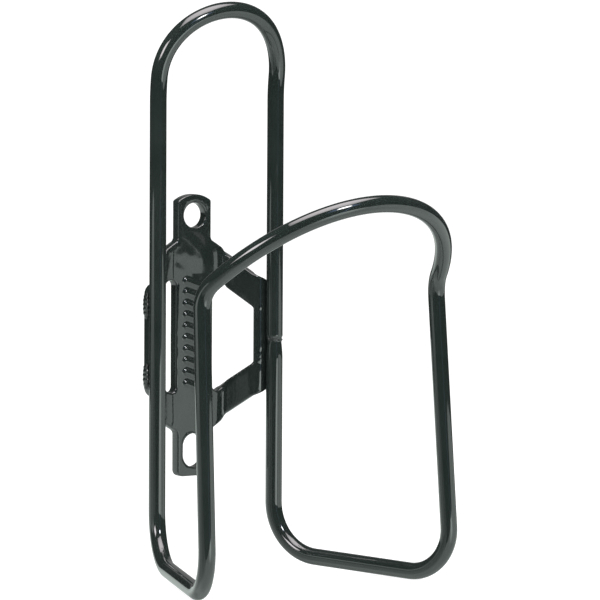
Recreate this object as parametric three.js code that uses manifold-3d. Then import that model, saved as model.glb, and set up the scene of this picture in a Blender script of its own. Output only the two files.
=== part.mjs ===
// Bicycle water bottle cage: one aluminium rod bent into a closed loop and butt welded to itself on
// the right rail, with a dished sheet plate fillet welded across the back of its two rails.
//
// Frame, in millimetres: the origin is on the plate's back face, midway between the two bolt holes.
// +Y points out of that face, towards the bicycle's tube, +Z points up and +X is the right-hand side
// for someone who looks at the cage from the bottle's side. The cage is the same on both sides.

import * as THREE from "three";
import { mergeVertices } from "three/addons/utils/BufferGeometryUtils.js";
import Module from "manifold-3d";

const wasm = await Module();
wasm.setup();

// Driving dimensions.
const ROD_DIAMETER = 4.5;
const BOTTLE_AXIS_Y = -48.4;
const WRAP_RADIUS = 39.8; // from the bottle's axis to the rod's centreline, at the rails and the hoop
const WELD_GAP = 0.3; // clearance left between two pieces that are welded to each other

// Back loop: two straight rails, joined at the top by a round arch that leans towards the bottle.
const RAIL_HALF_SPACING = 19.1;
const ARCH_CENTRE_Z = 69.8;
const LEAN_START_Z = 63.1;
const LEAN_ANGLE = THREE.MathUtils.degToRad(29);

// Lower bends: each rail turns forwards under the bottle, then up again as a front leg.
const BACK_CORNER_Z = -59.7;
const BACK_BEND_RADIUS = 14.3;
const FRONT_CORNER = new THREE.Vector3(39.2, -67.3, -62.1);
const FRONT_BEND_RADIUS = 11.8;

// Front hoop: it starts at the shoulders on top of the legs and wraps round the front of the bottle.
const SHOULDER_X = 37.6;
const SHOULDER_Z = 16.3;
const SHOULDER_ROUNDING = 4.4; // length of leg that the shoulder's curve takes up
const SHOULDER_ANGLE = THREE.MathUtils.degToRad(5); // angle of hoop that the shoulder's curve takes up
const HOOP_LEAN = THREE.MathUtils.degToRad(49); // between the hoop's plane and the vertical

// Mounting plate.
const PLATE_THICKNESS = 3;
const HOLE_SPACING = 64;
const HOLE_DIAMETER = 6.8;
const SLOT_LENGTH = 9.2;
const TAB_HALF_WIDTH = 5.2;
const TAB_TOP_Z = 37.7;
const TAB_TOP_RADIUS = 8.6;
const TAB_BOTTOM_Z = -39;
const TAB_CORNER_RADIUS = 1.8;
const SPINE_HALF_WIDTH = 5.8;
const WING_CENTRE_Z = -0.7; // the two wings and their windows are the same above and below this height
const WING_BEND_X = 10.35; // where the wings leave the plane of the spine
const FLANGE_BEND_X = 16.25; // where they turn into the flanges that the rails are welded to
const FLANGE_EDGE_X = 19.9;
const SHEET_BEND_RADIUS = 3;
const WINDOW_CORNER_RADIUS = 1.6;
const FLANGE_CORNER_RADIUS = 3;
// Corners of the wings' outer edge and of their windows, as half heights at places across the plate.
const WING_INNER_X = 9.7;
const WING_OUTER_X = 15.7;
const WING_CORNERS = [
  { x: TAB_HALF_WIDTH, half: 26, radius: 0 },
  { x: WING_INNER_X, half: 23.3, radius: 0 },
  { x: WING_OUTER_X, half: 16.6, radius: 0 },
  { x: FLANGE_EDGE_X, half: 14.1, radius: FLANGE_CORNER_RADIUS },
];
const WINDOW_CORNERS = [
  { x: SPINE_HALF_WIDTH, half: 16.4, radius: WINDOW_CORNER_RADIUS },
  { x: WING_INNER_X, half: 14.3, radius: 0 },
  { x: WING_OUTER_X, half: 7.6, radius: WINDOW_CORNER_RADIUS },
];

// Raised bars pressed into the spine.
const BAR_COUNT = 10;
const BAR_PITCH = 3.1;
const BAR_TOP_Z = 13.5;
const BAR_LENGTH = 7;
const BAR_WIDTH = 1.5;
const BAR_HEIGHT = 0.5;
const BAR_TILT = THREE.MathUtils.degToRad(-20);

// Welds.
const BUTT_WELD_Z = -1.6;
const BUTT_WELD_LENGTH = 2;
const BUTT_WELD_BULGE = 0.15; // stands proud of the rod at the front, and is flush at the back
const BEAD_HALF_SIZE = new THREE.Vector3(1.3, 2.1, 3.6);
const BEAD_CENTRE_X = 20.1;
const BEAD_HALF_SPACING = 9.5;

// Fineness of the faceted surfaces.
const ROD_SIDES = 12;
const BEND_STEP = THREE.MathUtils.degToRad(11);
const SHOULDER_STEPS = 5;
const ROUND_STEPS = 24;
const TAB_TOP_STEPS = 6;
const BAR_END_STEPS = 4;
const CUT_MARGIN = 1; // how far a cutting shape runs past what it cuts

const rodRadius = ROD_DIAMETER / 2;
const railY = BOTTLE_AXIS_Y + Math.sqrt(WRAP_RADIUS ** 2 - RAIL_HALF_SPACING ** 2);
const flangeFrontY = railY + rodRadius + WELD_GAP;

// Joins and cuts.

function toSolid(geometry) {
  const bare = geometry.clone();
  bare.deleteAttribute("normal");
  bare.deleteAttribute("uv");
  const merged = mergeVertices(bare);
  return new wasm.Manifold(
    new wasm.Mesh({
      numProp: 3,
      vertProperties: merged.attributes.position.array,
      triVerts: new Uint32Array(merged.index.array),
    }),
  );
}

function toGeometry(solid) {
  const mesh = solid.getMesh();
  const geometry = new THREE.BufferGeometry();
  geometry.setAttribute("position", new THREE.BufferAttribute(mesh.vertProperties, 3));
  geometry.setIndex(new THREE.BufferAttribute(mesh.triVerts, 1));
  geometry.computeVertexNormals();
  return geometry;
}

// The points of a bend of the given radius at a corner, from the end of one straight to the start of
// the next.
function bendPoints(before, corner, after, radius) {
  const back = before.clone().sub(corner).normalize();
  const ahead = after.clone().sub(corner).normalize();
  const halfAngle = back.angleTo(ahead) / 2;
  const start = corner.clone().addScaledVector(back, radius / Math.tan(halfAngle));
  const middle = back.clone().add(ahead).normalize();
  const centre = corner.clone().addScaledVector(middle, radius / Math.sin(halfAngle));
  const axis = ahead.clone().cross(back).normalize();
  const turn = Math.PI - 2 * halfAngle;
  const steps = Math.max(3, Math.ceil(turn / BEND_STEP));
  const points = [];
  for (let i = 0; i <= steps; i++) {
    const arm = start.clone().sub(centre).applyAxisAngle(axis, (turn * i) / steps);
    points.push(centre.clone().add(arm));
  }
  return points;
}

// Bent rod.

// Lays a point of a flat, upright shape on the sheet that curves towards the bottle above the rails.
function leanForward(x, z) {
  const bendRadius = (ARCH_CENTRE_Z + RAIL_HALF_SPACING - LEAN_START_Z) / LEAN_ANGLE;
  const angle = Math.max(0, z - LEAN_START_Z) / bendRadius;
  const y = railY - bendRadius * (1 - Math.cos(angle));
  const height = Math.min(z, LEAN_START_Z) + bendRadius * Math.sin(angle);
  return new THREE.Vector3(x, y, height);
}

// Right half of the arch, from the top of its rail to the arch's crown.
function archPoints() {
  const points = [leanForward(RAIL_HALF_SPACING, LEAN_START_Z)];
  points.push(leanForward(RAIL_HALF_SPACING, (LEAN_START_Z + ARCH_CENTRE_Z) / 2));
  const steps = Math.ceil(Math.PI / 2 / BEND_STEP);
  for (let i = 0; i <= steps; i++) {
    const angle = ((Math.PI / 2) * i) / steps;
    const x = RAIL_HALF_SPACING * Math.cos(angle);
    points.push(leanForward(x, ARCH_CENTRE_Z + RAIL_HALF_SPACING * Math.sin(angle)));
  }
  return points;
}

// A point of the hoop, at an angle round the bottle from its front.
function hoopPoint(angle) {
  const y = BOTTLE_AXIS_Y - WRAP_RADIUS * Math.cos(angle);
  const shoulderY = BOTTLE_AXIS_Y - Math.sqrt(WRAP_RADIUS ** 2 - SHOULDER_X ** 2);
  const z = SHOULDER_Z + (shoulderY - y) / Math.tan(HOOP_LEAN);
  return new THREE.Vector3(WRAP_RADIUS * Math.sin(angle), y, z);
}

// Right half of the front of the cage, from the foot of its rail to the middle of the hoop.
function frontPoints() {
  const shoulderAngle = Math.asin(SHOULDER_X / WRAP_RADIUS);
  const railAbove = new THREE.Vector3(RAIL_HALF_SPACING, railY, 0);
  const backCorner = new THREE.Vector3(RAIL_HALF_SPACING, railY, BACK_CORNER_Z);
  const shoulder = hoopPoint(shoulderAngle);
  const down = FRONT_CORNER.clone().sub(shoulder).normalize();
  const legTop = shoulder.clone().addScaledVector(down, SHOULDER_ROUNDING);
  const hoopStart = hoopPoint(shoulderAngle - SHOULDER_ANGLE);
  const shoulderCurve = new THREE.QuadraticBezierCurve3(legTop, shoulder, hoopStart);
  const points = [
    ...bendPoints(railAbove, backCorner, FRONT_CORNER, BACK_BEND_RADIUS),
    ...bendPoints(backCorner, FRONT_CORNER, shoulder, FRONT_BEND_RADIUS),
    ...shoulderCurve.getPoints(SHOULDER_STEPS),
  ];
  const hoopSteps = Math.ceil((shoulderAngle - SHOULDER_ANGLE) / BEND_STEP);
  for (let i = 1; i <= hoopSteps; i++) {
    points.push(hoopPoint((shoulderAngle - SHOULDER_ANGLE) * (1 - i / hoopSteps)));
  }
  return points;
}

// The rod's centreline: stations close together in the bends, and far apart on the straights.
class RodAxis extends THREE.Curve {
  constructor(stations) {
    super();
    this.stations = stations;
  }
  getPoint(t, target = new THREE.Vector3()) {
    const last = this.stations.length - 1;
    const index = Math.min(Math.floor(t * last), last - 1);
    return target.lerpVectors(this.stations[index], this.stations[index + 1], t * last - index);
  }
  getPointAt(u, target) {
    return this.getPoint(u, target);
  }
  getTangentAt(u, target = new THREE.Vector3()) {
    const last = this.stations.length - 1;
    const index = Math.round(u * last);
    const before = this.stations[Math.max(index - 1, 0)];
    const after = this.stations[Math.min(index + 1, last)];
    return target.subVectors(after, before).normalize();
  }
}

function mirrored(points) {
  return points.map((point) => new THREE.Vector3(-point.x, point.y, point.z));
}

function makeRod() {
  const arch = archPoints();
  const front = frontPoints();
  const endGap = BUTT_WELD_LENGTH / 2 + WELD_GAP;
  const railEnd = (z) => new THREE.Vector3(RAIL_HALF_SPACING, railY, z);
  const stations = [
    railEnd(BUTT_WELD_Z + endGap),
    ...arch,
    ...mirrored(arch).reverse().slice(1),
    ...mirrored(front),
    ...front.reverse().slice(1),
    railEnd(BUTT_WELD_Z - endGap),
  ];
  const section = new THREE.Shape();
  section.absarc(0, 0, rodRadius, 0, 2 * Math.PI);
  return new THREE.ExtrudeGeometry(section, {
    steps: stations.length - 1,
    curveSegments: ROD_SIDES,
    extrudePath: new RodAxis(stations),
  });
}

// Mounting plate.

// Section of the folded sheet, seen from above: flat spine, slanted wings and the two flanges.
function sheetSection() {
  const midY = -PLATE_THICKNESS / 2;
  const flangeMidY = flangeFrontY + PLATE_THICKNESS / 2;
  const middle = new THREE.Vector3(0, midY, 0);
  const wingBend = new THREE.Vector3(WING_BEND_X, midY, 0);
  const flangeBend = new THREE.Vector3(FLANGE_BEND_X, flangeMidY, 0);
  const edge = new THREE.Vector3(FLANGE_EDGE_X, flangeMidY, 0);
  const right = [
    ...bendPoints(middle, wingBend, flangeBend, SHEET_BEND_RADIUS),
    ...bendPoints(wingBend, flangeBend, edge, SHEET_BEND_RADIUS),
    edge,
  ];
  const line = [...mirrored(right).reverse(), ...right];
  const side = (sign) =>
    line.map((point, i) => {
      const along = line[Math.min(i + 1, line.length - 1)].clone().sub(line[Math.max(i - 1, 0)]);
      const across = new THREE.Vector2(-along.y, along.x).normalize();
      return across.multiplyScalar((sign * PLATE_THICKNESS) / 2).add(new THREE.Vector2(point.x, point.y));
    });
  return new THREE.Shape([...side(-1), ...side(1).reverse()]);
}

// Draws straight lines from corner to corner, and rounds each corner that has a radius.
function drawRounded(path, corners) {
  const count = corners.length;
  const at = (i) => new THREE.Vector3(corners[(i + count) % count].x, corners[(i + count) % count].z, 0);
  const points = corners.flatMap((corner, i) =>
    corner.radius ? bendPoints(at(i - 1), at(i), at(i + 1), corner.radius) : [at(i)],
  );
  return path.setFromPoints(points.map((point) => new THREE.Vector2(point.x, point.y)));
}

// A bolt hole as wide as the hole diameter, and as long as given: a plain round one, or a slot.
function boltHole(centreZ, length) {
  const halfStraight = (length - HOLE_DIAMETER) / 2;
  const hole = new THREE.Path();
  hole.absarc(0, centreZ + halfStraight, HOLE_DIAMETER / 2, 0, Math.PI);
  hole.absarc(0, centreZ - halfStraight, HOLE_DIAMETER / 2, Math.PI, 2 * Math.PI);
  return hole;
}

// Outline of the plate seen from the bottle's side, with its windows and bolt holes, X across and Z up.
function plateOutline() {
  const topArc = [];
  const halfArc = Math.asin(TAB_HALF_WIDTH / TAB_TOP_RADIUS);
  for (let i = 0; i <= TAB_TOP_STEPS; i++) {
    const angle = halfArc * (1 - (2 * i) / TAB_TOP_STEPS);
    const z = TAB_TOP_Z - TAB_TOP_RADIUS * (1 - Math.cos(angle));
    topArc.push({ x: TAB_TOP_RADIUS * Math.sin(angle), z });
  }
  const placed = (corners, side, level) =>
    corners.map(({ x, half, radius }) => ({ x: side * x, z: WING_CENTRE_Z + level * half, radius }));
  const wing = (side, level) => placed(WING_CORNERS, side, level);
  const foot = (side) => ({ x: side * TAB_HALF_WIDTH, z: TAB_BOTTOM_Z, radius: TAB_CORNER_RADIUS });
  const outline = drawRounded(new THREE.Shape(), [
    ...topArc,
    ...wing(-1, 1),
    ...wing(-1, -1).reverse(),
    foot(-1),
    foot(1),
    ...wing(1, -1),
    ...wing(1, 1).reverse(),
  ]);
  for (const side of [-1, 1]) {
    const top = placed(WINDOW_CORNERS, side, 1);
    const bottom = placed(WINDOW_CORNERS, side, -1).reverse();
    outline.holes.push(drawRounded(new THREE.Path(), [...top, ...bottom]));
  }
  outline.holes.push(boltHole(HOLE_SPACING / 2, HOLE_DIAMETER));
  outline.holes.push(boltHole(-HOLE_SPACING / 2, SLOT_LENGTH));
  return outline;
}

// Extrudes a shape drawn in X and Z between two places on the Y axis.
function extrudeAlongY(shape, frontY, backY) {
  const options = { depth: backY - frontY, bevelEnabled: false, curveSegments: ROUND_STEPS / 2 };
  return new THREE.ExtrudeGeometry(shape, options).rotateX(Math.PI / 2).translate(0, backY, 0);
}

function raisedBar(centreZ) {
  const reach = (BAR_LENGTH - BAR_WIDTH) / 2;
  const bar = new THREE.Shape();
  bar.absarc(reach, 0, BAR_WIDTH / 2, -Math.PI / 2, Math.PI / 2);
  bar.absarc(-reach, 0, BAR_WIDTH / 2, Math.PI / 2, (3 * Math.PI) / 2);
  const frontY = -PLATE_THICKNESS - BAR_HEIGHT;
  const options = { depth: 2 * BAR_HEIGHT, bevelEnabled: false, curveSegments: BAR_END_STEPS };
  const flat = new THREE.ExtrudeGeometry(bar, options).rotateZ(BAR_TILT).rotateX(Math.PI / 2);
  return flat.translate(0, frontY + 2 * BAR_HEIGHT, centreZ);
}

function makePlate() {
  const height = TAB_TOP_Z - TAB_BOTTOM_Z + 2 * CUT_MARGIN;
  const foldedSheet = new THREE.ExtrudeGeometry(sheetSection(), { depth: height, bevelEnabled: false });
  foldedSheet.translate(0, 0, TAB_BOTTOM_Z - CUT_MARGIN);
  const cutter = extrudeAlongY(plateOutline(), flangeFrontY - CUT_MARGIN, CUT_MARGIN);
  let plate = toSolid(foldedSheet).intersect(toSolid(cutter));
  for (let i = 0; i < BAR_COUNT; i++) {
    plate = plate.add(toSolid(raisedBar(BAR_TOP_Z - i * BAR_PITCH)));
  }
  return toGeometry(plate);
}

// Welds.

function makeButtWeld() {
  const half = BUTT_WELD_LENGTH / 2;
  const profile = [
    new THREE.Vector2(0, -half),
    new THREE.Vector2(rodRadius, -half),
    new THREE.Vector2(rodRadius + BUTT_WELD_BULGE, -half / 3),
    new THREE.Vector2(rodRadius + BUTT_WELD_BULGE, half / 3),
    new THREE.Vector2(rodRadius, half),
    new THREE.Vector2(0, half),
  ];
  return new THREE.LatheGeometry(profile, ROUND_STEPS).rotateX(Math.PI / 2);
}

// A fillet bead in the notch between the right rail and the flange behind it, cut clear of both.
function makeFilletBead() {
  const bead = new THREE.SphereGeometry(1, ROUND_STEPS, ROUND_STEPS / 2);
  bead.scale(BEAD_HALF_SIZE.x, BEAD_HALF_SIZE.y, BEAD_HALF_SIZE.z);
  bead.translate(BEAD_CENTRE_X, flangeFrontY, 0);
  const length = 4 * BEAD_HALF_SIZE.z;
  const rail = new THREE.CylinderGeometry(rodRadius + WELD_GAP, rodRadius + WELD_GAP, length, ROUND_STEPS);
  rail.rotateX(Math.PI / 2).translate(RAIL_HALF_SPACING, railY, 0);
  const flangeWidth = FLANGE_EDGE_X + WELD_GAP;
  const flange = new THREE.BoxGeometry(flangeWidth, PLATE_THICKNESS + 2 * WELD_GAP, length);
  flange.translate(flangeWidth / 2, flangeFrontY + PLATE_THICKNESS / 2, 0);
  return toGeometry(toSolid(bead).subtract(toSolid(rail)).subtract(toSolid(flange)));
}

const blackPaint = new THREE.MeshStandardMaterial({ color: 0x1d2422, roughness: 0.18, metalness: 0 });
const paintedWeld = new THREE.MeshStandardMaterial({ color: 0x1b2120, roughness: 0.24, metalness: 0 });

function addPiece(group, name, geometry, material) {
  const mesh = new THREE.Mesh(geometry, material.clone());
  mesh.name = name;
  group.add(mesh);
  return mesh;
}

const bottleCage = new THREE.Group();
bottleCage.name = "bottle_cage";
addPiece(bottleCage, "bent_rod", makeRod(), blackPaint);
addPiece(bottleCage, "mounting_plate", makePlate(), blackPaint);
addPiece(bottleCage, "butt_weld", makeButtWeld(), paintedWeld).position.set(
  RAIL_HALF_SPACING,
  railY - BUTT_WELD_BULGE,
  BUTT_WELD_Z,
);

for (const [side, sign] of [["left", -1], ["right", 1]]) {
  for (const [level, up] of [["upper", 1], ["lower", -1]]) {
    const bead = addPiece(bottleCage, `${level}_${side}_weld_bead`, makeFilletBead(), paintedWeld);
    bead.position.z = WING_CENTRE_Z + up * BEAD_HALF_SPACING;
    bead.scale.x = sign;
  }
}

export default bottleCage;
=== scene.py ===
"""A bicycle's water bottle cage: one rod bent into a loop, with a dished plate welded across its back.

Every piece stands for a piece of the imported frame, which gives the welds' places and the floor's
height. Dimensions are in millimetres, and each mesh is built in metres.
"""

import math

import bpy
import numpy as np
from mathutils import Matrix, Vector, geometry, noise


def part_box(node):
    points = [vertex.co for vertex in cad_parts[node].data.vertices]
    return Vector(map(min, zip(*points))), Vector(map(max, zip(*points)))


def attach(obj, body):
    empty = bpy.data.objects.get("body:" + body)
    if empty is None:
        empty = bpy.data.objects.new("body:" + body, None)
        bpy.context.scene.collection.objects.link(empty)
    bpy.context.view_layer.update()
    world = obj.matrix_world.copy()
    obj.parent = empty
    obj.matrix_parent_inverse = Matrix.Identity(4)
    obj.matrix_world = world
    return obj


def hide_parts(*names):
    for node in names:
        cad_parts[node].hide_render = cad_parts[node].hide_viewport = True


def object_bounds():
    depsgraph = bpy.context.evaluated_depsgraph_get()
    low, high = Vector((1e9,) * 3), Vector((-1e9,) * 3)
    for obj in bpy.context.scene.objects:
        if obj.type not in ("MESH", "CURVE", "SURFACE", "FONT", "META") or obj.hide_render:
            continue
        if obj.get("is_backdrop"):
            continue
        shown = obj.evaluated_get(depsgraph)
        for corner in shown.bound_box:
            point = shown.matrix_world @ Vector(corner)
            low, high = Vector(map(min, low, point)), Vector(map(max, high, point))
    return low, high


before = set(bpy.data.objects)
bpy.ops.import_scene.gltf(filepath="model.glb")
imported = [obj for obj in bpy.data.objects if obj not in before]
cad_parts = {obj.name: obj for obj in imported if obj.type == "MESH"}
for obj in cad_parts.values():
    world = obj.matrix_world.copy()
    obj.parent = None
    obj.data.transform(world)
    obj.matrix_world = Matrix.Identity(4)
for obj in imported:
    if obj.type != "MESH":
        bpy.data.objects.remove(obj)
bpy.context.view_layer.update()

MM = 0.001

# The bent rod. Each corner is where two straights would meet if the bend were sharp.
ROD_RADIUS = 2.25
BOTTLE_AXIS_Y = -48.4
WRAP_RADIUS = 39.8  # from the bottle's axis to the rod's centreline, at the rails and the hoop
RAIL_HALF_SPACING = 19.1
ARCH_CENTRE_Z = 69.8  # before the arch is leant forward
LEAN_START_Z = 63.1
LEAN_ANGLE = math.radians(29)
BACK_CORNER_Z = -59.7
BACK_BEND_RADIUS = 14.3
FRONT_CORNER = (39.2, -67.3, -62.1)
FRONT_BEND_RADIUS = 11.8
SHOULDER_X = 37.6
SHOULDER_Z = 16.3
SHOULDER_ROUNDING = 4.4  # from the shoulder's corner down to the end of the straight leg
SHOULDER_ANGLE = math.radians(5)  # round the hoop, from the corner to the end of the rounding
HOOP_LEAN = math.radians(49)  # the hoop's plane, from upright
ROD_SIDES = 48
CURVE_SPACING = 0.8  # between the rod's sections in its bends
STRAIGHT_SPACING = 3.0

# The mounting plate.
PLATE_THICKNESS = 3
HOLE_SPACING = 64
HOLE_DIAMETER = 6.8
SLOT_LENGTH = 9.2
TAB_HALF_WIDTH = 5.2
TAB_TOP_Z = 37.7
TAB_TOP_RADIUS = 8.6
TAB_BOTTOM_Z = -39
TAB_CORNER_RADIUS = 1.8
SPINE_HALF_WIDTH = 5.8
WING_CENTRE_Z = -0.7
WING_BEND_X = 10.35
FLANGE_BEND_X = 16.25
FLANGE_EDGE_X = 19.9
SHEET_BEND_RADIUS = 3
WINDOW_CORNER_RADIUS = 1.6
FLANGE_CORNER_RADIUS = 3
JUNCTION_RADIUS = 1.5  # where a tab meets the wings
TAB_TOP_ROUNDING = 0.7
TAB_TOP_STEPS = 12
WING_INNER_X = 9.7
WING_OUTER_X = 15.7
# Corners of the wings' outer edge and of their windows: place across, half height and radius.
WING_CORNERS = (
    (TAB_HALF_WIDTH, 26, JUNCTION_RADIUS),
    (WING_INNER_X, 23.3, 0),
    (WING_OUTER_X, 16.6, 0),
    (FLANGE_EDGE_X, 14.1, FLANGE_CORNER_RADIUS),
)
WINDOW_CORNERS = (
    (SPINE_HALF_WIDTH, 16.4, WINDOW_CORNER_RADIUS),
    (WING_INNER_X, 14.3, 0),
    (WING_OUTER_X, 7.6, WINDOW_CORNER_RADIUS),
)
EDGE_RADIUS = 0.45
EDGE_STEPS = 5
FOLD_SPACING = 0.2
OUTLINE_SPACING = 0.45
FACE_SPACING = 0.9
BAR_SPACING = 0.28  # finer among the raised bars, which have soft shoulders
ROW_SPACING = 0.87  # between rows of points, as a share of the spacing along them
BORDER_CLEARANCE = 0.6  # from the edges to the nearest inner point, as a share of that spacing

# The raised bars on the spine.
BAR_COUNT = 10
BAR_PITCH = 3.1
BAR_TOP_Z = 13.5
BAR_LENGTH = 7
BAR_WIDTH = 1.5
BAR_HEIGHT = 0.5
BAR_REACH = 1  # from a bar's middle line to where its shoulder meets the spine
BAR_LEAN = 0.42  # how far its crest lies below its middle line
BAR_ROUNDNESS = 2.5  # higher for a flatter crest
BAR_TILT = math.radians(-20)
BAR_ZONE_HALF_WIDTH = 4.6

# Unevenness of the pressed plate.
PLATE_WAVES = ((0.04, 8.0), (0.014, 2.6))  # height and spacing
WAVES_LEFT_ON_WINGS = 0.12
PLATE_TILT = 0.045  # slope of the spine's slight turn to the left

# The welds.
NECK_ABOVE = 0.9  # how far the thinner stretch of rod runs from the butt weld
NECK_BELOW = 5
NECK_DEPTH = 0.42
NECK_STEPS = 14
NECK_MARGIN = 0.3  # to the first full section beyond the neck
WELD_HALF_HEIGHT = 0.95
WELD_WANDER = 0.25  # how far that half height varies round the rod
WELD_SINK = 0.02  # of the ring's edges, below the neck
WELD_CREST = 0.4
WELD_RINGS = 24
WELD_SIDES = 64
BEAD_GIRTH = 0.8  # share of the node's own girth
BEAD_BLUNTNESS = 0.8  # lower for blunter ends
BEAD_TIP = 0.04
BEAD_RIPPLES = 6
RIPPLE_DEPTH = 0.07
BEAD_LUMPS = 0.12
BEAD_RINGS = 48
BEAD_SIDES = 32

rail_y = BOTTLE_AXIS_Y + math.sqrt(WRAP_RADIUS**2 - RAIL_HALF_SPACING**2)
flange_front_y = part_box("mounting_plate")[0].y / MM
weld_z = (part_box("butt_weld")[0].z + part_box("butt_weld")[1].z) / 2 / MM


# Meshes.

def add_mesh(name, points, faces, node):
    """A piece of the object, in place of a node of the frame. Its points are in millimetres."""
    mesh = bpy.data.meshes.new(name)
    mesh.from_pydata([Vector(p) * MM for p in points], [], faces)
    mesh.validate()
    mesh.shade_smooth()
    piece = bpy.data.objects.new(name, mesh)
    bpy.context.scene.collection.objects.link(piece)
    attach(piece, "root")
    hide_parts(node)
    return piece


def unit(vector):
    return vector / np.linalg.norm(vector)


def turned(vector, axis, angle):
    """The vector, turned about a unit axis."""
    across = np.cross(axis, vector) * math.sin(angle)
    along = axis * np.dot(axis, vector) * (1 - math.cos(angle))
    return vector * math.cos(angle) + across + along


def bend_points(before, corner, after, radius, spacing):
    """A bend at a corner, from the end of one straight to the start of the next."""
    before, corner, after = (np.array(p, float) for p in (before, corner, after))
    back, ahead = unit(before - corner), unit(after - corner)
    half_angle = math.acos(np.dot(back, ahead)) / 2
    start = corner + back * radius / math.tan(half_angle)
    centre = corner + unit(back + ahead) * radius / math.sin(half_angle)
    axis = unit(np.cross(ahead, back))
    turn = math.pi - 2 * half_angle
    steps = max(3, math.ceil(turn * radius / spacing))
    return [centre + turned(start - centre, axis, turn * i / steps) for i in range(steps + 1)]


def tube_faces(rings, sides):
    """Faces of a closed tube whose points run ring by ring."""
    faces = []
    for ring in range(rings - 1):
        for i in range(sides):
            a, b = ring * sides + i, ring * sides + (i + 1) % sides
            faces.append((a, b, b + sides, a + sides))
    last = (rings - 1) * sides
    return [*faces, tuple(reversed(range(sides))), tuple(range(last, last + sides))]


def sweep(path, radii, sides):
    """Points and faces of a closed tube of the given radii along a path."""
    path = np.array(path, float)
    ahead = np.diff(path, axis=0)
    ahead /= np.linalg.norm(ahead, axis=1)[:, None]
    tangents = np.vstack([ahead[:1], ahead[:-1] + ahead[1:], ahead[-1:]])
    across = unit(np.cross(tangents[0], (0.3, 0.9, 0.2)))
    points = []
    for place, tangent, radius in zip(path, tangents, radii):
        tangent = unit(tangent)
        across = unit(across - tangent * np.dot(across, tangent))
        up = np.cross(tangent, across)
        for i in range(sides):
            angle = 2 * math.pi * i / sides
            points.append(place + radius * (across * math.cos(angle) + up * math.sin(angle)))
    return points, tube_faces(len(path), sides)


# The bent rod.

def lean_forward(x, z):
    """A point of a flat, upright shape, laid on the sheet that curves towards the bottle above the rails."""
    bend_radius = (ARCH_CENTRE_Z + RAIL_HALF_SPACING - LEAN_START_Z) / LEAN_ANGLE
    angle = max(0, z - LEAN_START_Z) / bend_radius
    height = min(z, LEAN_START_Z) + bend_radius * math.sin(angle)
    return (x, rail_y - bend_radius * (1 - math.cos(angle)), height)


def arch_points():
    """The right half of the arch, from the top of its rail to the crown."""
    rise = ARCH_CENTRE_Z - LEAN_START_Z
    rise_steps = math.ceil(rise / CURVE_SPACING)
    levels = [LEAN_START_Z + rise * i / rise_steps for i in range(rise_steps)]
    points = [lean_forward(RAIL_HALF_SPACING, level) for level in levels]
    steps = math.ceil(math.pi / 2 * RAIL_HALF_SPACING / CURVE_SPACING)
    for i in range(steps + 1):
        angle = math.pi / 2 * i / steps
        x = RAIL_HALF_SPACING * math.cos(angle)
        points.append(lean_forward(x, ARCH_CENTRE_Z + RAIL_HALF_SPACING * math.sin(angle)))
    return points


def hoop_point(angle):
    """A point of the hoop, at an angle round the bottle from its front."""
    y = BOTTLE_AXIS_Y - WRAP_RADIUS * math.cos(angle)
    shoulder_y = BOTTLE_AXIS_Y - math.sqrt(WRAP_RADIUS**2 - SHOULDER_X**2)
    return np.array((WRAP_RADIUS * math.sin(angle), y, SHOULDER_Z + (shoulder_y - y) / math.tan(HOOP_LEAN)))


def front_points():
    """The right half of the cage's front, from the foot of its rail to the middle of the hoop."""
    shoulder_angle = math.asin(SHOULDER_X / WRAP_RADIUS)
    rail = (RAIL_HALF_SPACING, rail_y, 0)
    back_corner = (RAIL_HALF_SPACING, rail_y, BACK_CORNER_Z)
    shoulder = hoop_point(shoulder_angle)
    leg_top = shoulder + unit(np.array(FRONT_CORNER) - shoulder) * SHOULDER_ROUNDING
    hoop_start = hoop_point(shoulder_angle - SHOULDER_ANGLE)
    points = bend_points(rail, back_corner, FRONT_CORNER, BACK_BEND_RADIUS, CURVE_SPACING)
    points += bend_points(back_corner, FRONT_CORNER, shoulder, FRONT_BEND_RADIUS, CURVE_SPACING)
    steps = math.ceil(2 * SHOULDER_ROUNDING / CURVE_SPACING)
    for i in range(steps + 1):
        t = i / steps
        points.append((1 - t) ** 2 * leg_top + 2 * t * (1 - t) * shoulder + t**2 * hoop_start)
    span = shoulder_angle - SHOULDER_ANGLE
    steps = math.ceil(span * WRAP_RADIUS / CURVE_SPACING)
    points += [hoop_point(span * (1 - i / steps)) for i in range(1, steps + 1)]
    return points


def filled(points, spacing):
    """The path, with extra points wherever two are further apart than the spacing."""
    result = [np.array(points[0], float)]
    for point in points[1:]:
        step = np.array(point, float) - result[-1]
        count = max(1, math.ceil(np.linalg.norm(step) / spacing))
        start = result[-1]
        result += [start + step * i / count for i in range(1, count + 1)]
    return result


def mirrored(points):
    return [(-x, y, z) for x, y, z in points]


def narrowed(height):
    """The rod's radius at a height above the butt weld, where the grinding left it a little thinner."""
    reach = NECK_ABOVE if height > 0 else NECK_BELOW
    return ROD_RADIUS - NECK_DEPTH * max(0, 1 - abs(height) / reach) ** 1.5


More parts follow.
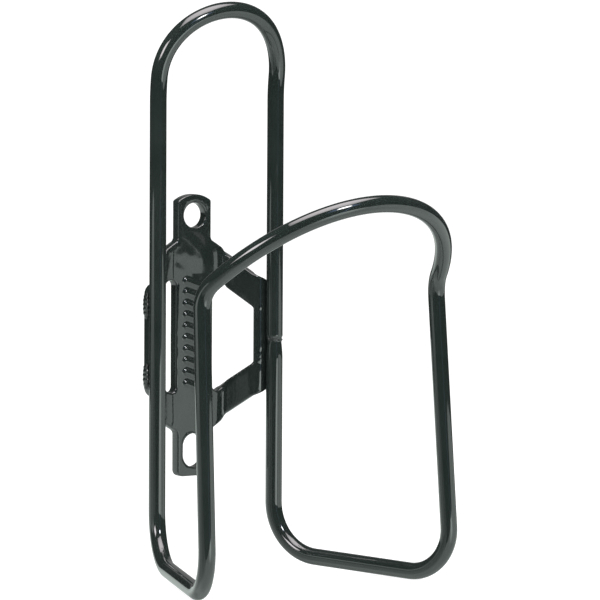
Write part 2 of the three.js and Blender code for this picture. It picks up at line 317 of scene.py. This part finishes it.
def make_rod():
    arch, front = arch_points(), front_points()
    above = [weld_z + NECK_ABOVE * i / NECK_STEPS for i in range(NECK_STEPS + 1)]
    below = [weld_z - NECK_BELOW * (1 - i / NECK_STEPS) for i in range(NECK_STEPS + 1)]
    above.append(above[-1] + NECK_MARGIN)
    below.insert(0, below[0] - NECK_MARGIN)
    loop = [(RAIL_HALF_SPACING, rail_y, z) for z in above] + [*arch, *mirrored(arch)[-2::-1]]
    loop += [*mirrored(front), *front[-2::-1]] + [(RAIL_HALF_SPACING, rail_y, z) for z in below]
    path = filled(loop, STRAIGHT_SPACING)
    on_right_rail = [x > 0 and abs(y - rail_y) < 0.01 and abs(z) < 20 for x, y, z in path]
    radii = [narrowed(p[2] - weld_z) if near else ROD_RADIUS for p, near in zip(path, on_right_rail)]
    points, faces = sweep(path, radii, ROD_SIDES)
    return add_mesh("rod", points, faces, "bent_rod")


# The mounting plate.

def fold_line():
    """Half of the sheet's middle line, seen from above: flat spine, slanted wing and flange."""
    middle_y = -PLATE_THICKNESS / 2
    flange_y = flange_front_y + PLATE_THICKNESS / 2
    wing_bend, flange_bend = (WING_BEND_X, middle_y, 0), (FLANGE_BEND_X, flange_y, 0)
    edge = (FLANGE_EDGE_X + 1, flange_y, 0)
    return [
        (0, middle_y, 0),
        *bend_points((0, middle_y, 0), wing_bend, flange_bend, SHEET_BEND_RADIUS, FOLD_SPACING),
        *bend_points(wing_bend, flange_bend, edge, SHEET_BEND_RADIUS, FOLD_SPACING),
        edge,
    ]


fold = np.array(fold_line())
fold_slope = np.gradient(fold[:, 1], fold[:, 0])


def rounded_loop(corners):
    """A closed outline in X and Z: straight from corner to corner, with those that have a radius rounded."""
    points = []
    for i, (x, z, radius) in enumerate(corners):
        before, after = corners[i - 1], corners[(i + 1) % len(corners)]
        if radius:
            ends = [(p[0], p[1], 0) for p in (before, (x, z), after)]
            points += [p[:2] for p in bend_points(*ends, radius, OUTLINE_SPACING / 2)]
        else:
            points.append((x, z))
    closed = filled([(*p[:2], 0) for p in [*points, points[0]]], OUTLINE_SPACING)
    return np.array(closed)[:-1, :2]


def bolt_hole(centre_z, length):
    """A bolt hole, as long as given: a plain round one, or a slot."""
    radius, straight = HOLE_DIAMETER / 2, (length - HOLE_DIAMETER) / 2
    steps = math.ceil(math.pi * radius / OUTLINE_SPACING)
    loop = []
    for side in (1, -1):
        for i in range(steps):
            angle = math.pi * i / steps + (0 if side > 0 else math.pi)
            loop.append((radius * math.cos(angle), centre_z + side * straight + radius * math.sin(angle)))
    return np.array(loop)


def plate_loops():
    """The plate's outline, then its windows and bolt holes, each turning so that metal is on its left."""
    def corners(table, side, level):
        return [(side * x, WING_CENTRE_Z + level * half, radius) for x, half, radius in table]

    half_arc = math.asin(TAB_HALF_WIDTH / TAB_TOP_RADIUS)
    top = []
    for i in range(TAB_TOP_STEPS + 1):
        angle = half_arc * (1 - i / (TAB_TOP_STEPS / 2))
        z = TAB_TOP_Z - TAB_TOP_RADIUS * (1 - math.cos(angle))
        rounding = TAB_TOP_ROUNDING if i in (0, TAB_TOP_STEPS) else 0
        top.append((TAB_TOP_RADIUS * math.sin(angle), z, rounding))
    outer = rounded_loop([
        *top,
        *corners(WING_CORNERS, -1, 1),
        *corners(WING_CORNERS, -1, -1)[::-1],
        (-TAB_HALF_WIDTH, TAB_BOTTOM_Z, TAB_CORNER_RADIUS),
        (TAB_HALF_WIDTH, TAB_BOTTOM_Z, TAB_CORNER_RADIUS),
        *corners(WING_CORNERS, 1, -1),
        *corners(WING_CORNERS, 1, 1)[::-1],
    ])
    loops = [outer]
    for side in (-1, 1):
        upper, lower = corners(WINDOW_CORNERS, side, 1), corners(WINDOW_CORNERS, side, -1)
        loops.append(rounded_loop([*upper, *lower[::-1]]))
    loops += [bolt_hole(HOLE_SPACING / 2, HOLE_DIAMETER), bolt_hole(-HOLE_SPACING / 2, SLOT_LENGTH)]
    turns_well = [(signed_area(loop) > 0) == (i == 0) for i, loop in enumerate(loops)]
    return [loop if well else loop[::-1] for loop, well in zip(loops, turns_well)]


def signed_area(loop):
    following = np.roll(loop, -1, axis=0)
    return np.sum(loop[:, 0] * following[:, 1] - following[:, 0] * loop[:, 1]) / 2


def inset(loop, distance):
    """The outline moved into the metal, which is on its left."""
    along = np.roll(loop, -1, axis=0) - np.roll(loop, 1, axis=0)
    along /= np.linalg.norm(along, axis=1)[:, None]
    return loop + distance * np.column_stack([-along[:, 1], along[:, 0]])


def bar_relief(x, z):
    """Height of the raised bars above the spine."""
    relief = 0
    for i in range(BAR_COUNT):
        dz = z - (BAR_TOP_Z - i * BAR_PITCH)
        along = x * math.cos(BAR_TILT) + dz * math.sin(BAR_TILT)
        across = dz * math.cos(BAR_TILT) - x * math.sin(BAR_TILT)
        beyond = max(0, abs(along) - (BAR_LENGTH - BAR_WIDTH) / 2)
        above = across + BAR_LEAN
        side = BAR_REACH + (BAR_LEAN if above > 0 else -BAR_LEAN)
        edge = math.hypot(beyond / BAR_REACH, above / side)
        relief = max(relief, BAR_HEIGHT * (1 - min(1, edge) ** BAR_ROUNDNESS))
    return relief


def folded_point(x, z, depth):
    """A point of the folded sheet, from its place on the flat blank and its height above the middle."""
    inward = WING_INNER_X - abs(x)
    depth += PLATE_TILT * x * max(0, min(1, inward / 3))
    fade = max(WAVES_LEFT_ON_WINGS, min(1, inward / 2))
    for height, spacing in PLATE_WAVES:
        depth += fade * height * noise.noise(Vector((x, z, 0)) / spacing)
    y = np.interp(abs(x), fold[:, 0], fold[:, 1])
    slope = math.copysign(1, x) * np.interp(abs(x), fold[:, 0], fold_slope)
    normal = unit(np.array((slope, -1)))
    return (x + normal[0] * depth, y + normal[1] * depth, z)


def inside_points(loops):
    """Places for the face's inner points, finer among the bars, and clear of the edges."""
    borders = np.vstack(loops)
    bars_low, bars_high = BAR_TOP_Z - BAR_COUNT * BAR_PITCH, BAR_TOP_Z + BAR_PITCH
    points = []
    for spacing, half_width, low, high in (
        (FACE_SPACING, FLANGE_EDGE_X, TAB_BOTTOM_Z, TAB_TOP_Z),
        (BAR_SPACING, BAR_ZONE_HALF_WIDTH, bars_low, bars_high),
    ):
        for row, z in enumerate(np.arange(low, high, spacing * ROW_SPACING)):
            for x in np.arange(-half_width + (row % 2) * spacing / 2, half_width, spacing):
                among_bars = abs(x) < BAR_ZONE_HALF_WIDTH and bars_low < z < bars_high
                if spacing == FACE_SPACING and among_bars:
                    continue
                nearest = np.min(np.hypot(borders[:, 0] - x, borders[:, 1] - z))
                if nearest > BORDER_CLEARANCE * spacing and is_inside(x, z, loops):
                    points.append((x, z))
    return points


def is_inside(x, z, loops):
    """Whether a place is on the metal, by counting the edges to its right."""
    count = 0
    for loop in loops:
        x1, z1 = loop[:, 0], loop[:, 1]
        x2, z2 = np.roll(x1, -1), np.roll(z1, -1)
        crossing = (z1 > z) != (z2 > z)
        with np.errstate(divide="ignore", invalid="ignore"):
            where = x1 + (z - z1) * (x2 - x1) / (z2 - z1)
        count += int(np.sum(crossing & (where > x)))
    return count % 2 == 1


def make_plate():
    loops = plate_loops()
    inner_loops = [inset(loop, EDGE_RADIUS) for loop in loops]
    flat = [tuple(p) for loop in inner_loops for p in loop]
    edges, start = [], 0
    for loop in inner_loops:
        edges += [(start + i, start + (i + 1) % len(loop)) for i in range(len(loop))]
        start += len(loop)
    flat += inside_points(inner_loops)
    corners, _, triangles, *_ = geometry.delaunay_2d_cdt([Vector(p) for p in flat], edges, [], 1, 1e-6)
    centres = [sum((corners[i] for i in triangle), Vector((0, 0))) / 3 for triangle in triangles]
    triangles = [t for t, centre in zip(triangles, centres) if is_inside(*centre, inner_loops)]

    half = PLATE_THICKNESS / 2
    points = [folded_point(x, z, half + bar_relief(x, z)) for x, z in corners]
    points += [folded_point(x, z, -half) for x, z in corners]
    count = len(corners)
    faces = []
    for a, b, c in triangles:
        faces += [(a, b, c), (a + count, c + count, b + count)]

    # The edge rolls over from the front face to the back one.
    quarter = [math.pi / 2 * k / EDGE_STEPS for k in range(EDGE_STEPS + 1)]
    profile = [(1 - math.sin(turn), half - EDGE_RADIUS * (1 - math.cos(turn))) for turn in quarter]
    profile += [(reach, -depth) for reach, depth in reversed(profile)]
    start = 0
    for loop in loops:
        size = len(loop)
        rings = [range(start, start + size)]
        for reach, depth in profile[1:-1]:
            rings.append(range(len(points), len(points) + size))
            points += [folded_point(x, z, depth) for x, z in inset(loop, EDGE_RADIUS * reach)]
        rings.append(range(count + start, count + start + size))
        for upper, lower in zip(rings, rings[1:]):
            for i in range(size):
                j = (i + 1) % size
                faces.append((upper[j], upper[i], lower[i], lower[j]))
        start += size
    return add_mesh("plate", points, faces, "mounting_plate")


# The welds.

def make_butt_weld():
    """An uneven ring of weld metal round the right rail, a little lower than the rod."""
    points = []
    for ring in range(WELD_RINGS + 1):
        t = 2 * ring / WELD_RINGS - 1
        for i in range(WELD_SIDES):
            angle = 2 * math.pi * i / WELD_SIDES
            arm = Vector((math.cos(angle), math.sin(angle), 0))
            lump = noise.noise(arm * 3.4 + Vector((0, 0, t * 1.6)))
            radius = ROD_RADIUS - NECK_DEPTH - WELD_SINK + WELD_CREST * (1 - t * t) * (0.6 + 1.2 * lump)
            half_height = WELD_HALF_HEIGHT + WELD_WANDER * noise.noise(arm * 1.7)
            points.append((
                RAIL_HALF_SPACING + radius * arm.x,
                rail_y + radius * arm.y,
                weld_z + t * half_height,
            ))
    faces = tube_faces(WELD_RINGS + 1, WELD_SIDES)
    return add_mesh("butt_weld_ring", points, faces, "butt_weld")


def make_fillet_bead(node):
    """A rippled bead in the notch between a rail and its flange, as long as its node."""
    low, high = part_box(node)
    centre, half = (low + high) / 2 / MM, (high - low) / 2 / MM
    points = []
    for ring in range(BEAD_RINGS + 1):
        t = 2 * ring / BEAD_RINGS - 1
        girth = math.sqrt(max(0, 1 - t * t)) ** BEAD_BLUNTNESS
        ripple = 1 + RIPPLE_DEPTH * math.sin(math.pi * BEAD_RIPPLES * t)
        for i in range(BEAD_SIDES):
            angle = 2 * math.pi * i / BEAD_SIDES
            arm = Vector((math.cos(angle), math.sin(angle), 0))
            lump = 1 + BEAD_LUMPS * noise.noise(arm * 1.5 + Vector((centre.x, 0, centre.z + t * 4)))
            reach = max(BEAD_TIP, BEAD_GIRTH * girth * ripple * lump)
            points.append((
                centre.x + half.x * reach * arm.x,
                centre.y + half.y * reach * arm.y,
                centre.z + half.z * t,
            ))
    faces = tube_faces(BEAD_RINGS + 1, BEAD_SIDES)
    return add_mesh(node.replace("weld_", "") + "_ripples", points, faces, node)


# Paint. Its lengths are in metres, and its scales are in features per metre.
# The specks' light grey is painted glint: small bright sparkles painted into the paint's colour.
GLINT_SPECK_COLOUR = (0.32, 0.33, 0.31)
GLINT_SPECK_BUMP = 0.00004
CLOUD_SCALE, PEEL_SCALE, GLINT_SPECK_SCALE, GLINT_SPECK_SPREAD, WIPING_SCALE = 70, 240, 420, 260, 900
COAT_ROUGHNESS = 0.03


def add_paint(name, base, patch, roughness, peel, specks):
    """Gloss paint under a clear coat: uneven in colour and gloss, with orange peel and light specks of
    painted glint in it.

    Peel is the height of the orange peel, and higher specks mean more painted glints.
    """
    material = bpy.data.materials.new(name)
    material.use_nodes = True
    nodes, links = material.node_tree.nodes, material.node_tree.links
    shader = nodes["Principled BSDF"]
    place = nodes.new("ShaderNodeTexCoord").outputs["Object"]

    def noise_at(scale, detail, distortion=0):
        node = nodes.new("ShaderNodeTexNoise")
        node.inputs["Scale"].default_value = scale
        node.inputs["Detail"].default_value = detail
        node.inputs["Distortion"].default_value = distortion
        links.new(place, node.inputs["Vector"])
        return node.outputs["Fac"]

    def spread(value, low, high, to_low, to_high):
        node = nodes.new("ShaderNodeMapRange")
        for key, number in zip(("From Min", "From Max", "To Min", "To Max"), (low, high, to_low, to_high)):
            node.inputs[key].default_value = number
        links.new(value, node.inputs["Value"])
        return node.outputs["Result"]

    def mixed(fraction, first, second):
        node = nodes.new("ShaderNodeMix")
        node.data_type = "RGBA"
        links.new(fraction, node.inputs["Factor"])
        for socket, colour in ((node.inputs[6], first), (node.inputs[7], second)):
            if isinstance(colour, tuple):
                socket.default_value = (*colour, 1)
            else:
                links.new(colour, socket)
        return node.outputs[2]

    # Slow random changes of tone, then sparse light-grey specks: each is a painted glint with a small bump.
    cloud = spread(noise_at(CLOUD_SCALE, detail=3, distortion=0.4), 0.35, 0.65, 0, 1)
    dots = nodes.new("ShaderNodeTexVoronoi")
    dots.inputs["Scale"].default_value = GLINT_SPECK_SCALE
    links.new(place, dots.inputs["Vector"])
    near = spread(dots.outputs["Distance"], 0.05, 0.12, 1, 0)
    chosen = spread(noise_at(GLINT_SPECK_SPREAD, detail=1), 0.74 - specks, 0.78 - specks, 0, 1)
    glint_specks = nodes.new("ShaderNodeMath")
    glint_specks.operation = "MULTIPLY"
    links.new(near, glint_specks.inputs[0])
    links.new(chosen, glint_specks.inputs[1])
    # The light-grey specks mixed in here are painted glints.
    links.new(mixed(glint_specks.outputs[0], mixed(cloud, base, patch), GLINT_SPECK_COLOUR), shader.inputs["Base Color"])

    # Gloss that varies with fine wiping marks.
    wiped = spread(noise_at(WIPING_SCALE, detail=4), 0.3, 0.7, roughness * 0.85, roughness * 1.25)
    links.new(wiped, shader.inputs["Roughness"])
    shader.inputs["IOR"].default_value = 1.5
    shader.inputs["Coat Weight"].default_value = 1
    shader.inputs["Coat IOR"].default_value = 1.5
    shader.inputs["Coat Roughness"].default_value = COAT_ROUGHNESS

    ripple = nodes.new("ShaderNodeBump")
    ripple.inputs["Strength"].default_value = 1
    ripple.inputs["Distance"].default_value = peel
    links.new(noise_at(PEEL_SCALE, detail=1), ripple.inputs["Height"])
    lump = nodes.new("ShaderNodeBump")
    lump.inputs["Strength"].default_value = 1
    lump.inputs["Distance"].default_value = GLINT_SPECK_BUMP
    links.new(glint_specks.outputs[0], lump.inputs["Height"])
    links.new(ripple.outputs["Normal"], lump.inputs["Normal"])
    links.new(lump.outputs["Normal"], shader.inputs["Normal"])
    links.new(ripple.outputs["Normal"], shader.inputs["Coat Normal"])
    return material


BLACK, WELD_BLACK = (0.0105, 0.0155, 0.0135), (0.010, 0.014, 0.0125)
ROD_PATCH, PLATE_PATCH, WELD_PATCH = (0.014, 0.0195, 0.0175), (0.015, 0.0205, 0.018), (0.014, 0.019, 0.017)
rod_paint = add_paint("rod_gloss_black", BLACK, ROD_PATCH, roughness=0.045, peel=1.5e-6, specks=-0.04)
plate_paint = add_paint("plate_gloss_black", BLACK, PLATE_PATCH, roughness=0.05, peel=2e-6, specks=0)
weld_paint = add_paint("weld_gloss_black", WELD_BLACK, WELD_PATCH, roughness=0.06, peel=4e-6, specks=0.02)

pieces = [(make_rod(), rod_paint), (make_plate(), plate_paint), (make_butt_weld(), weld_paint)]
for level in ("upper", "lower"):
    for side in ("left", "right"):
        pieces.append((make_fillet_bead(f"{level}_{side}_weld_bead"), weld_paint))
for piece, paint in pieces:
    piece.data.materials.append(paint)

# Camera. Its azimuth is taken from the -Y direction, with the right side positive.
CAMERA_DISTANCE = 1200
CAMERA_TARGET = (-3.76, -57.42, 12.91)
CAMERA_LENS, CAMERA_SENSOR = 275.8, 36
azimuth, elevation, roll = (math.radians(a) for a in (-35.5, 4.62, 0.33))
back = Vector((
    math.sin(azimuth) * math.cos(elevation),
    -math.cos(azimuth) * math.cos(elevation),
    math.sin(elevation),
))
camera = bpy.data.objects.new("camera", bpy.data.cameras.new("camera"))
bpy.context.scene.collection.objects.link(camera)
bpy.context.scene.camera = camera
camera.data.lens = CAMERA_LENS
camera.data.sensor_width = CAMERA_SENSOR
camera.data.clip_start, camera.data.clip_end = 0.1, 100
camera.location = (Vector(CAMERA_TARGET) + back * CAMERA_DISTANCE) * MM
camera.rotation_mode = "QUATERNION"
aim = back.to_track_quat("Z", "Y").to_matrix() @ Matrix.Rotation(roll, 3, "Z")
camera.rotation_quaternion = aim.to_quaternion()

# Studio. Places are given by the angle to the right of the camera's direction, the distance from the
# plate's middle and the height.
bpy.context.scene.view_settings.view_transform = "Standard"
towards_camera = Vector((math.sin(azimuth), -math.cos(azimuth), 0))
to_the_right = Vector((math.cos(azimuth), math.sin(azimuth), 0))


def beside(angle, distance, height):
    """A place in the studio."""
    turn = math.radians(angle)
    level = towards_camera * math.cos(turn) + to_the_right * math.sin(turn)
    return level * distance + Vector((0, 0, height))


def add_stage(name, points, faces, material):
    """A piece of the studio. Its points are in millimetres."""
    mesh = bpy.data.meshes.new(name)
    mesh.from_pydata([Vector(p) * MM for p in points], [], faces)
    mesh.materials.append(material)
    item = bpy.data.objects.new(name, mesh)
    bpy.context.scene.collection.objects.link(item)
    item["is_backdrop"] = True
    return item


def glow(name, colour, strength, soft=0, attribute=None):
    """Emission that fades to the card's edges where it is soft, or follows a brightness kept in the mesh."""
    material = bpy.data.materials.new(name)
    material.use_nodes = True
    nodes, links = material.node_tree.nodes, material.node_tree.links
    nodes.clear()
    emission, output = nodes.new("ShaderNodeEmission"), nodes.new("ShaderNodeOutputMaterial")
    emission.inputs["Color"].default_value = (*colour, 1)
    emission.inputs["Strength"].default_value = strength
    links.new(emission.outputs[0], output.inputs["Surface"])

    def math_node(operation, first, second):
        node = nodes.new("ShaderNodeMath")
        node.operation = operation
        for socket, value in zip(node.inputs, (first, second)):
            if isinstance(value, (int, float)):
                socket.default_value = value
            else:
                links.new(value, socket)
        return node.outputs[0]

    if attribute:
        kept = nodes.new("ShaderNodeAttribute")
        kept.attribute_name = attribute
        links.new(math_node("MULTIPLY", kept.outputs["Fac"], strength), emission.inputs["Strength"])
    if soft:
        split = nodes.new("ShaderNodeSeparateXYZ")
        links.new(nodes.new("ShaderNodeUVMap").outputs["UV"], split.inputs[0])
        level = strength
        for axis in split.outputs[:2]:
            hump = math_node("MULTIPLY", math_node("MULTIPLY", axis, math_node("SUBTRACT", 1, axis)), 4)
            level = math_node("MULTIPLY", math_node("POWER", hump, soft), level)
        links.new(level, emission.inputs["Strength"])
    return material


def add_card(name, centre, facing, width, height, colour, strength, soft=0):
    """A glowing rectangle that faces a point. Only the object sees it."""
    ahead = (Vector(facing) - centre).normalized()
    across = ahead.cross(Vector((0, 0, 1)))
    across = across.normalized() if across.length > 0.01 else to_the_right
    up = across.cross(ahead)
    places = ((0, 0), (1, 0), (1, 1), (0, 1))
    corners = [centre + across * width * (i - 0.5) + up * height * (j - 0.5) for i, j in places]
    card = add_stage(name, corners, [(0, 1, 2, 3)], glow(name, colour, strength, soft))
    for loop, place in zip(card.data.uv_layers.new(name="UVMap").data, places):
        loop.uv = place
    card.visible_camera = card.visible_shadow = False
    return card


WHITE, WARM, COOL, BLUE = (1, 1, 1), (1, 0.93, 0.96), (0.9, 1, 0.95), (0.45, 0.6, 1)
HEART = (0, -48, 15)
add_card("overhead_light", beside(14, 110, 400), beside(14, 110, 0), 400, 390, WARM, 5.5, 0.3)
add_card("left_light", beside(-42, 520, 250), HEART, 230, 200, WARM, 9, 0.4)
add_card("lamp", beside(30, 260, 178), (0, -60, 60), 56, 56, WHITE, 40, 0.8)
add_card("lamp_glow", beside(30, 262, 178), (0, -60, 60), 130, 90, BLUE, 2.5, 1)
add_card("right_glow", beside(36, 520, 60), HEART, 26, 420, BLUE, 0.9, 0.5)
add_card("back_wall", beside(180, 1500, 300), (0, 0, 300), 1200, 1500, WHITE, 0.2)

# The table and the low walls that the paint mirrors from below: angle, distance, heights of the wall's
# top and middle, then brightness at its top, middle and foot, and on the table closer in.
TABLE_Z = -272
TABLE_INNER = 180
TABLE_STRENGTH = 0.97
SURROUNDINGS = (
    (-180, 500, -66, -130, 0.6, 0.75, 0.3, 0.3),
    (-150, 450, -58, -130, 0.7, 0.85, 0.4, 0.35),
    (-125, 400, -54, -120, 0.75, 0.9, 0.5, 0.4),
    (-98, 320, -50, -80, 0.8, 0.7, 0.5, 0.8),
    (-80, 265, 16, -32, 0.7, 0.4, 0.6, 0.95),
    (-64, 250, 27, -32, 1.3, 0.5, 0.6, 0.95),
    (-50, 250, 24, -36, 1.1, 0.4, 0.6, 0.95),
    (-44, 250, -10, -45, 0.2, 0.2, 0.6, 0.95),
    (-22, 300, -60, -90, 0.3, 0.3, 0.6, 0.95),
    (-12, 420, -200, -230, 0.3, 0.3, 0.7, 0.95),
    (0, 650, -272, -272, 0.9, 0.9, 0.9, 0.95),
    (12, 500, -150, -220, 0.7, 0.7, 0.8, 0.95),
    (24, 480, -75, -180, 1.1, 1.0, 0.9, 0.95),
    (34, 480, -52, -180, 2.7, 2.0, 1.0, 0.95),
    (44, 480, -48, -180, 2.7, 2.0, 1.0, 0.95),
    (55, 480, -44, -180, 1.1, 1.1, 0.9, 0.95),
    (61, 480, -12, -180, 1.1, 1.1, 0.9, 0.95),
    (74, 480, -9, -180, 1.1, 1.1, 0.9, 0.95),
    (90, 480, -18, -180, 0.8, 0.85, 0.9, 0.9),
    (108, 480, -30, -180, 0.75, 0.8, 0.8, 0.8),
    (125, 480, -60, -200, 0.7, 0.7, 0.7, 0.6),
    (150, 480, -200, -230, 0.6, 0.6, 0.5, 0.4),
)
TABLE_MIDDLE_BRIGHTNESS = 0.75
points, brightness = [(0, 0, TABLE_Z)], [TABLE_MIDDLE_BRIGHTNESS]
for angle, distance, top, middle, *levels in SURROUNDINGS:
    places = ((distance, top), (distance, middle), (distance, TABLE_Z), (TABLE_INNER, TABLE_Z))
    points += [beside(angle, away, height) for away, height in places]
    brightness += levels
faces = []
for i in range(len(SURROUNDINGS)):
    j = (i + 1) % len(SURROUNDINGS)
    faces += [(1 + 4 * i + k, 2 + 4 * i + k, 2 + 4 * j + k, 1 + 4 * j + k) for k in range(3)]
    faces.append((0, 4 * i + 4, 4 * j + 4))
table_glow = glow("mirrored_table", COOL, TABLE_STRENGTH, attribute="brightness")
table = add_stage("mirrored_table", points, faces, table_glow)
table.data.attributes.new("brightness", "FLOAT", "POINT").data.foreach_set("value", brightness)
table.visible_camera = table.visible_shadow = table.visible_diffuse = False

# The pale floor, which rises at its rim into a dome. The paint doesn't mirror it.
FLOOR_REFLECTANCE, FLOOR_GLOW = 0.25, 0.9
FLOOR_Z = min(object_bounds()[0].z / MM, -60) - 0.05
DOME_RADIUS, DOME_RINGS, DOME_SIDES = 4000, 24, 64
floor_material = bpy.data.materials.new("pale_floor")
floor_material.use_nodes = True
floor_shader = floor_material.node_tree.nodes["Principled BSDF"]
floor_shader.inputs["Base Color"].default_value = (*[FLOOR_REFLECTANCE] * 3, 1)
floor_shader.inputs["Roughness"].default_value = 1
floor_shader.inputs["Specular IOR Level"].default_value = 0
floor_shader.inputs["Emission Color"].default_value = (1, 1, 1, 1)
floor_shader.inputs["Emission Strength"].default_value = FLOOR_GLOW
points = [(0, 0, FLOOR_Z)]
for ring in range(1, DOME_RINGS):
    t = ring / DOME_RINGS
    reach, level = DOME_RADIUS * 2 * t, FLOOR_Z
    if t > 0.5:
        reach, level = DOME_RADIUS * math.sin(math.pi * t), FLOOR_Z - DOME_RADIUS * math.cos(math.pi * t)
    for i in range(DOME_SIDES):
        angle = 2 * math.pi * i / DOME_SIDES
        points.append((reach * math.cos(angle), reach * math.sin(angle), level))
points.append((0, 0, FLOOR_Z + DOME_RADIUS))
faces = [(0, 1 + i, 1 + (i + 1) % DOME_SIDES) for i in range(DOME_SIDES)]
for ring in range(DOME_RINGS - 2):
    for i in range(DOME_SIDES):
        a, b = 1 + ring * DOME_SIDES + i, 1 + ring * DOME_SIDES + (i + 1) % DOME_SIDES
        faces.append((a, a + DOME_SIDES, b + DOME_SIDES, b))
last = 1 + (DOME_RINGS - 2) * DOME_SIDES
faces += [(last + i, len(points) - 1, last + (i + 1) % DOME_SIDES) for i in range(DOME_SIDES)]
dome = add_stage("floor_and_backdrop", points, faces, floor_material)
dome.visible_glossy = False

WORLD_STRENGTH = 0.03
world = bpy.data.worlds.new("world")
bpy.context.scene.world = world
world.use_nodes = True
background = world.node_tree.nodes["Background"]
background.inputs["Color"].default_value = (0.9, 1, 0.97, 1)
background.inputs["Strength"].default_value = WORLD_STRENGTH
